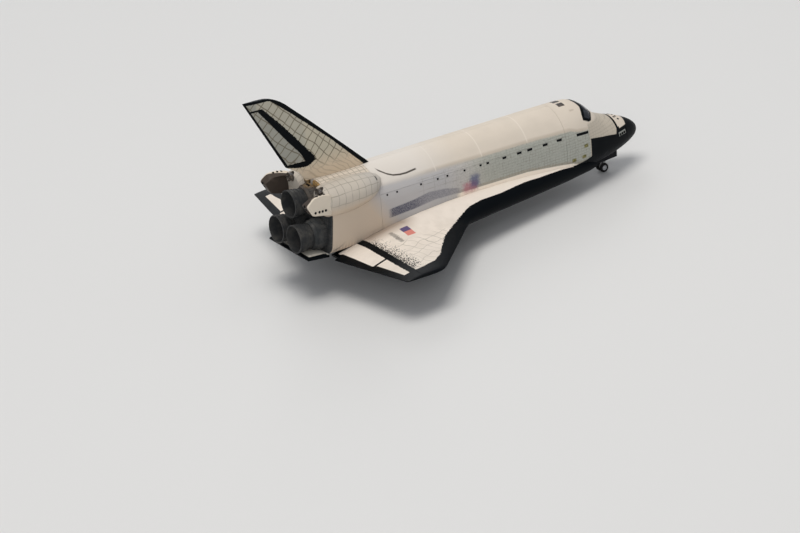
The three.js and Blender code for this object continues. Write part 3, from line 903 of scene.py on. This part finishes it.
def struck(surface, start, way):
    """Where a line from a place first meets a surface, and the way that it faces there."""
    place, facing, _, _ = surface.ray_cast(start, Vector(way))
    return place, facing


HULL = skin("nose_cap", "forward_fuselage", "mid_fuselage",
            "payload_door_left", "payload_door_right", "aft_fuselage")
# a level, a butt and a station that are clear of the craft
ABOVE = 900
BESIDE = 300
BEHIND = 1800


def from_above(station, butt):
    return struck(HULL, spot(station, butt, ABOVE), (0, 0, -1))


def from_side(station, level, sign):
    return struck(HULL, spot(station, sign * BESIDE, level), (0, -sign, 0))


def lain(plate, proud, material):
    """Bends a thin plate over the cabin, standing proud of it in inches."""
    seated(plate)
    lie = plate.modifiers.new("lie", "SHRINKWRAP")
    lie.target = CABIN
    lie.wrap_method = "NEAREST_SURFACEPOINT"
    apply(plate, lie)
    wall = plate.modifiers.new("wall", "SOLIDIFY")
    wall.thickness = 2 * proud * INCH
    wall.offset = 0
    apply(plate, wall)
    with editing(plate):
        bpy.ops.mesh.normals_make_consistent(inside=False)
    eased(plate, 0.4 * proud * INCH, 50)
    finish(plate, material)


# Windows

# inner and outer butt, then the lower edge's and the upper edge's stations at each
WINDSHIELD = {
    "front": (1.6, 22.5, 443, 444.5, 479, 478),
    "middle": (26, 48.5, 445.5, 450, 477.5, 475.5),
    "side": (52, 74, 453, 468.5, 477, 487.5),
}
OVERHEAD = (5, 27, 529, 529, 553, 553)
GLASS_PROUD = 0.7


def window(name, sign, edges, glass):
    """A four-cornered pane on the cabin's roof."""
    inner, outer, low_in, low_out, high_in, high_out = edges
    places = ((low_in, inner), (low_out, outer), (high_in, inner), (high_out, outer))
    sheet = started("plane", name, size=1)
    pull(sheet, [from_above(station, sign * butt)[0] for station, butt in places])
    with editing(sheet):
        bpy.ops.mesh.subdivide(number_cuts=7)
    lain(sheet, GLASS_PROUD, glass)


for side, sign in SIDES:
    for pane, edges in WINDSHIELD.items():
        window(f"windshield_{pane}_{side}", sign, edges, GLASS)
    window("overhead_window_" + side, sign, OVERHEAD, SMOKED_GLASS)


# Ports and vents along the fuselage

# the radius at the middle of a turned piece
MIDDLE = 0.01


def thruster(name, radius, place, facing):
    """A dished thruster port with a low rim, set on a surface."""
    edge = radius + 1.3
    port = turned(name, [
        (edge, -1.2), (edge, 0.7), (edge - 0.5, 1.0), (radius, 1.0), (radius * 0.8, 0.3),
        (MIDDLE, 0.09)], 24)
    return placed(port, place, facing)


# station and level on the nose's side, then station and butt on top of it
NOSE_PORTS = ((321.5, 358), (332, 357.5), (342.5, 357))
BOW_PORTS = ((322, 9), (322, 26), (333, 17))
for side, sign in SIDES:
    for index, (station, level) in enumerate(NOSE_PORTS):
        port = thruster(f"nose_port_{index}_{side}", 3.4, *from_side(station, level, sign))
        added(port, PORT)
    for index, (station, butt) in enumerate(BOW_PORTS):
        port = thruster(f"bow_port_{index}_{side}", 2.6, *from_above(station, sign * butt))
        added(port, PORT)

# station, length, height
VENTS = (
    (609, 20, 8.5), (665, 19, 8.5), (726, 19, 8.5), (767, 18, 8), (825, 15, 8), (890, 10, 7),
    (918, 8, 7), (980, 7, 6.5), (1046, 7, 6.5), (1083, 7, 6.5), (1147, 7, 6.5), (1238, 6, 6),
    (1275, 6, 6),
)
VENT_LEVEL = 421.5
for side, sign in SIDES:
    slabs = [placed(brick("slab", (length, height, 1.6), 0.5),
                    from_side(station, VENT_LEVEL, sign)[0], (0, sign, 0))
             for station, length, height in VENTS]
    added(joined("vent_row_" + side, slabs), VENT)


# Engines and nozzles

# radius and distance from the exit plane
BELL_WALL = (
    (MIDDLE, -102), (18, -102), (24, -94), (32.5, -75), (39, -52), (43.5, -26), (45.1, -3.5))
BELL_LIP = ((46.2, -2.9), (46.4, -1.2), (45.3, 0))
BELL_THROAT = ((42.6, 0), (41, -26), (36.5, -52), (30, -75), (14, -92), (12, -96), (MIDDLE, -96))
# the hoops' distances and height, and half their width at the top and the foot
HOOPS = (-62, -47, -33, -20, -9)
HOOP_HEIGHT = 1.3
HOOP_TOP = 1.1
HOOP_FOOT = 1.6


def wall_radius(distance):
    """The outside radius of a bell at a distance from its exit."""
    for (r0, d0), (r1, d1) in zip(BELL_WALL, BELL_WALL[1:]):
        if d0 <= distance <= d1 and d1 > d0:
            return r0 + (r1 - r0) * (distance - d0) / (d1 - d0)


def hooped(wall):
    """The wall's profile with its raised hoops and rolled lip."""
    profile = list(wall)
    for distance in HOOPS:
        top = wall_radius(distance) + HOOP_HEIGHT
        for way in (-1, 1):
            foot = distance + way * HOOP_FOOT
            profile += [(wall_radius(foot), foot), (top, distance + way * HOOP_TOP)]
    profile.sort(key=lambda place: place[1] + place[0] * 1e-4)
    return profile + list(BELL_LIP)


# name, exit station, butt, level, pitch up in degrees
ENGINES = (("upper", 1580, 0, 445, 2), ("left", 1602, 54, 348, 3), ("right", 1602, -54, 348, 3))


def ring(radius, width, height, sides):
    """A raised band about Z, its edges rounded."""
    inside = radius - 2
    return turned("ring", [
        (inside, -width / 2), (radius, -width / 2), (radius + height * 0.8, -width * 0.36),
        (radius + height, 0), (radius + height * 0.8, width * 0.36), (radius, width / 2),
        (inside, width / 2), (inside, -width / 2)], sides)


# radius, width and distance from the exit plane
DOME_BANDS = ((51, 4, -80.5), (47.6, 3, -64.3), (41.8, 3, -54))
bell = turned("bell", hooped(BELL_WALL) + list(BELL_THROAT), 64)
for name, station, butt, level, pitch in ENGINES:
    axis = Vector((-1, 0, math.tan(math.radians(pitch)))).normalized()
    exit_place = spot(station, butt, level)
    engine = placed(copied(bell, "engine_bell_" + name), exit_place, axis)
    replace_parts(added(engine, BELL, angle=40), "main_engine_" + name)
    bands = [placed(ring(radius, width, 1.4, 64), exit_place + axis * distance, axis)
             for radius, width, distance in DOME_BANDS]
    added(joined("dome_bands_" + name, bands), BASE)
bpy.data.objects.remove(bell)

# radius and distance from the nozzle's root
NOZZLE_WALL = (
    (MIDDLE, -6), (8, -6), (8, 2), (9.6, 6.6), (10.4, 6.9), (10.4, 8.1), (10.1, 8.4),
    (12.2, 15), (13, 15.3), (13, 16.7), (12.7, 17), (14.5, 25.2), (14.5, 26), (12.9, 26),
    (9.5, 12), (5, 4), (MIDDLE, 4))
for side, sign in SIDES:
    nozzle = turned("pod_nozzle_" + side, NOZZLE_WALL, 40)
    placed(nozzle, spot(1496, sign * 88, 492.5), (-1, 0, 0.1))
    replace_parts(added(nozzle, NOZZLE, angle=40), "oms_nozzle_" + side)


# Thruster ports in the tail housings

HOUSINGS = skin("rcs_housing_left", "rcs_housing_right")
# station and level, station and butt, butt and level
SIDE_PORTS = ((1565.6, 456.5), (1550, 455), (1537.5, 453.5), (1524.6, 452.5))
TOP_PORTS = ((1522, 130), (1536, 131), (1550, 133))
REAR_PORTS = ((128, 470), (128, 482))
for side, sign in SIDES:
    aims = [(3.0, spot(at, sign * BESIDE, level), (0, -sign, 0)) for at, level in SIDE_PORTS]
    aims += [(2.6, spot(at, sign * butt, ABOVE), (0, 0, -1)) for at, butt in TOP_PORTS]
    aims += [(3.0, spot(BEHIND, sign * butt, level), (1, 0, 0)) for butt, level in REAR_PORTS]
    ports = [thruster("port", radius, *struck(HOUSINGS, start, way))
             for radius, start, way in aims]
    added(joined("tail_ports_" + side, ports), PORT)


# Wheels

# shares of the tyre's radius and of half its width
TREAD = (
    (0.50, -0.86), (0.62, -0.98), (0.80, -1.0), (0.92, -0.86), (0.975, -0.66), (0.993, -0.50),
    (0.955, -0.47), (0.955, -0.40), (0.998, -0.37), (1.0, -0.12), (0.96, -0.09))


def tyre_ring(radius, width):
    half = width / 2
    near = [(share * radius, place * half) for share, place in TREAD]
    far = [(r, -d) for r, d in reversed(near)]
    loop = near + far
    return turned("tyre", loop + [loop[0]], 56)


def rim(radius, hub, width):
    """A dished wheel centre, open on +Z, with its bead lips."""
    edge = radius * 0.54
    profile = (
        (edge, -0.8), (edge, 0.84), (edge - 0.9, 0.92), (edge - 1.8, 0.84), (edge - 2.6, 0.5),
        (hub * 0.62, 0.34), (hub * 0.5, 0.62), (hub * 0.3, 0.72), (MIDDLE, 0.74))
    return turned("rim", [(reach, share * width / 2) for reach, share in profile], 40)


# axle, tyre radius, width, spacing, hub radius, bolts on a wheel
MAIN_WHEEL = (MAIN_AXLE, 22.24, 16, 36, 10, 8)
# node, body, side, then the same
WHEELS = (
    ("nose_wheels", "nose_wheel_pair", 0, NOSE_AXLE, 15.98, 8.8, 22, 7.5, 5),
    ("main_wheels_left", "main_wheel_pair_left", 1, *MAIN_WHEEL),
    ("main_wheels_right", "main_wheel_pair_right", -1, *MAIN_WHEEL),
)


def wheel_bolts(count, reach, height, size):
    """A ring of bolt heads about Z."""
    heads = []
    for index in range(count):
        turn = 2 * math.pi * index / count
        head = started("cylinder", "head", vertices=6, radius=size, depth=size * 1.6)
        eased(head, size * 0.2)
        heads.append(placed(head, (reach * math.cos(turn), reach * math.sin(turn), height)))
    return heads


SHAFT_RADIUS = 3.2
for node, body, sign, axle, radius, width, spacing, hub, bolts in WHEELS:
    station, butt, level = axle
    middle = spot(station, sign * butt, level)
    reach = Vector((0, spacing / 2, 0))
    tyres = []
    metalwork = [rod("shaft", middle - reach, middle + reach, SHAFT_RADIUS)]
    for way in (1, -1):
        place = middle + way * reach
        tyres.append(placed(tyre_ring(radius, width), place, (0, way, 0)))
        centre = [rim(radius, hub, width)]
        centre += wheel_bolts(bolts, hub * 0.8, 0.46 * width / 2, hub * 0.08)
        metalwork.append(placed(joined("centre", centre), place, (0, way, 0)))
    tread = joined("tyres_" + node, tyres)
    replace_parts(added(tread, TYRE, body, 40), node)
    added(joined("rims_" + node, metalwork), HUB, body, 40)


# Legs, doors and their links


def link(start, end):
    """A flat arm between two places, narrower at its far end, with rounded edges."""
    along = end - start
    arm = brick("link", (7, 2.2, along.length), 0.44)
    with editing(arm):
        bpy.ops.mesh.select_all(action="DESELECT")
        cage = bmesh.from_edit_mesh(arm.data)
        for vertex in cage.verts:
            vertex.select_set(vertex.co.z > 0)
        cage.select_flush(True)
        bpy.ops.transform.resize(value=(0.7, 1, 1), center_override=(0, 0, along.length / 2))
        bpy.ops.mesh.select_all(action="SELECT")
    return placed(arm, (start + end) / 2, along)


# place over the leg's foot, width and height
COLLARS = ((21.5, 3, 1.6), (27, 2, 1.0))


def leg_trim(name, station, butt, axle_level, top, radius, way):
    """Chrome, links, collars and a hose for one leg; its links point ahead or aft."""
    def at(ahead, out, level):
        return spot(station - ahead, butt + out, level)

    foot = axle_level + 9
    chrome = rod("oleo_" + name, at(0, 0, foot), at(0, 0, foot + 20), radius + 0.35, 24)
    added(chrome, CHROME, angle=40)
    knee = at(way * (radius + 13), 0, foot + 12)
    pin = Vector((0, 4.2, 0))
    behind = -way * radius
    parts = [placed(ring(radius, width, height, 32), at(0, 0, foot + place))
             for place, width, height in COLLARS]
    parts += [
        placed(ring(radius, 2.4, 1.2, 32), at(0, 0, top - 8)),
        link(at(way * radius, 0, foot), knee),
        link(at(way * radius, 0, foot + 24), knee),
        rod("pin", knee - pin, knee + pin, 1.6, 12),
        rod("hose", at(behind - way, 1.5, foot), at(behind - way * 0.8, 1.5, top - 6), 0.7, 10),
        rod("clip", at(behind, 1.5, foot + 34), at(behind - way * 2, 1.5, foot + 34), 1.5, 10),
    ]
    added(joined("leg_trim_" + name, parts), STRUT, angle=40)


leg_trim("nose", NOSE_AXLE[0], 0, NOSE_AXLE[2], 300, 5, 1)
for side, sign in SIDES:
    leg_trim("main_" + side, MAIN_AXLE[0], sign * MAIN_AXLE[1], MAIN_AXLE[2], 290, 6.5, -1)


# shares of a door's length
RIBS = (0.12, 0.38, 0.62, 0.88)
ARMS = (0.25, 0.75)


def door_trim(name, out, fore, aft, low, high, way, hinge_level):
    """Ribs and a stringer on a door's inside, and the arms that hold it."""
    length, height = aft - fore, high - low
    inside, middle = out + way * 0.8, (low + high) / 2
    bars = [(share, 2.2, height * 0.78) for share in RIBS] + [(0.5, length * 0.8, 2.2)]
    parts = [placed(brick("rib", (wide, 2.0, tall), 0.4),
                    spot(fore + length * share, inside, middle)) for share, wide, tall in bars]
    for share in ARMS:
        station = fore + length * share
        parts.append(rod("arm", spot(station, out + way, high - 6),
                         spot(station, out + way * 9, hinge_level), 1.3, 12))
    added(joined("door_trim_" + name, parts), STRUT, angle=40)


for side, sign in SIDES:
    door_trim("nose_" + side, sign * 17, 332, 418, 264, 280, -sign, 290)
    door_trim("main_" + side, sign * 162, 1114, 1230, 226, 264, -sign, 282)


# Crew hatch on the left side

HATCH_STATION = 533


def disc_on_side(name, level, radius, proud, material):
    """A round plate bent over the left side of the cabin."""
    plate = started("circle", name, vertices=40, radius=radius, fill_type="NGON")
    with editing(plate):
        for _ in range(3):
            bpy.ops.mesh.inset(thickness=radius * 0.22, depth=0)
    placed(plate, *from_side(HATCH_STATION, level, 1))
    lain(plate, proud, material)


disc_on_side("crew_hatch", 398, 19, 0.7, FUSELAGE)
disc_on_side("hatch_window", 402, 5, 1.2, GLASS)


# Stage

PAPER = (0.72, 0.72, 0.71)


def floor():
    ground = started("plane", "floor", size=12)
    material = bpy.data.materials.new("floor_paper")
    material.use_nodes = True
    shader = material.node_tree.nodes["Principled BSDF"]
    shader.inputs["Base Color"].default_value = (*PAPER, 1)
    shader.inputs["Roughness"].default_value = 0.8
    ground.data.materials.append(material)


def softbox(name, place, size, power, colour=(1, 1, 1)):
    """A square lamp that faces the model."""
    light = bpy.data.lights.new(name, "AREA")
    light.shape = "SQUARE"
    light.size = size
    light.energy = power
    light.color = colour
    lamp = bpy.data.objects.new(name, light)
    bpy.context.scene.collection.objects.link(lamp)
    lamp.location = place
    lamp.rotation_euler = (-Vector(place)).to_track_quat("-Z", "Y").to_euler()


def surroundings(colour, strength):
    world = bpy.data.worlds.new("studio")
    world.use_nodes = True
    background = world.node_tree.nodes["Background"]
    background.inputs["Color"].default_value = (*colour, 1)
    background.inputs["Strength"].default_value = strength
    bpy.context.scene.world = world


# the photograph's camera, fitted in millimetres from the craft's datum
CAMERA_PLACE = Vector((-449.48, -651.92, 316.34))
CAMERA_AHEAD = Vector((0.46901, 0.78573, -0.40332))
CAMERA_UP = Vector((0.27505, 0.30401, 0.91210))
CAMERA_LENS = 181.53


def photo_camera():
    place = CAMERA_PLACE * MILLIMETRE / INCH
    ahead = (AIRFRAME.to_3x3() @ CAMERA_AHEAD).normalized()
    up = (AIRFRAME.to_3x3() @ CAMERA_UP).normalized()
    across = ahead.cross(up).normalized()
    up = across.cross(ahead)
    data = bpy.data.cameras.new("photo_camera")
    data.sensor_width = 36
    data.lens = CAMERA_LENS
    data.clip_start = 0.01
    data.clip_end = 50
    camera = bpy.data.objects.new("photo_camera", data)
    bpy.context.scene.collection.objects.link(camera)
    turn = Matrix((across, up, -ahead)).transposed().to_4x4()
    camera.matrix_world = Matrix.Translation(AIRFRAME @ place) @ turn
    bpy.context.scene.camera = camera


floor()
surroundings((0.93, 0.95, 1.0), 0.38)
softbox("key_light", (-0.05, -0.05, 0.8), 0.45, 3.6, (1.0, 0.97, 0.93))
softbox("fill_light", (-0.5, -0.7, 0.4), 0.5, 1.4, (0.98, 0.98, 1.0))
softbox("rim_light", (0.3, 0.7, 0.5), 0.4, 1.2)
photo_camera()
bpy.context.scene.view_settings.view_transform = "Standard"
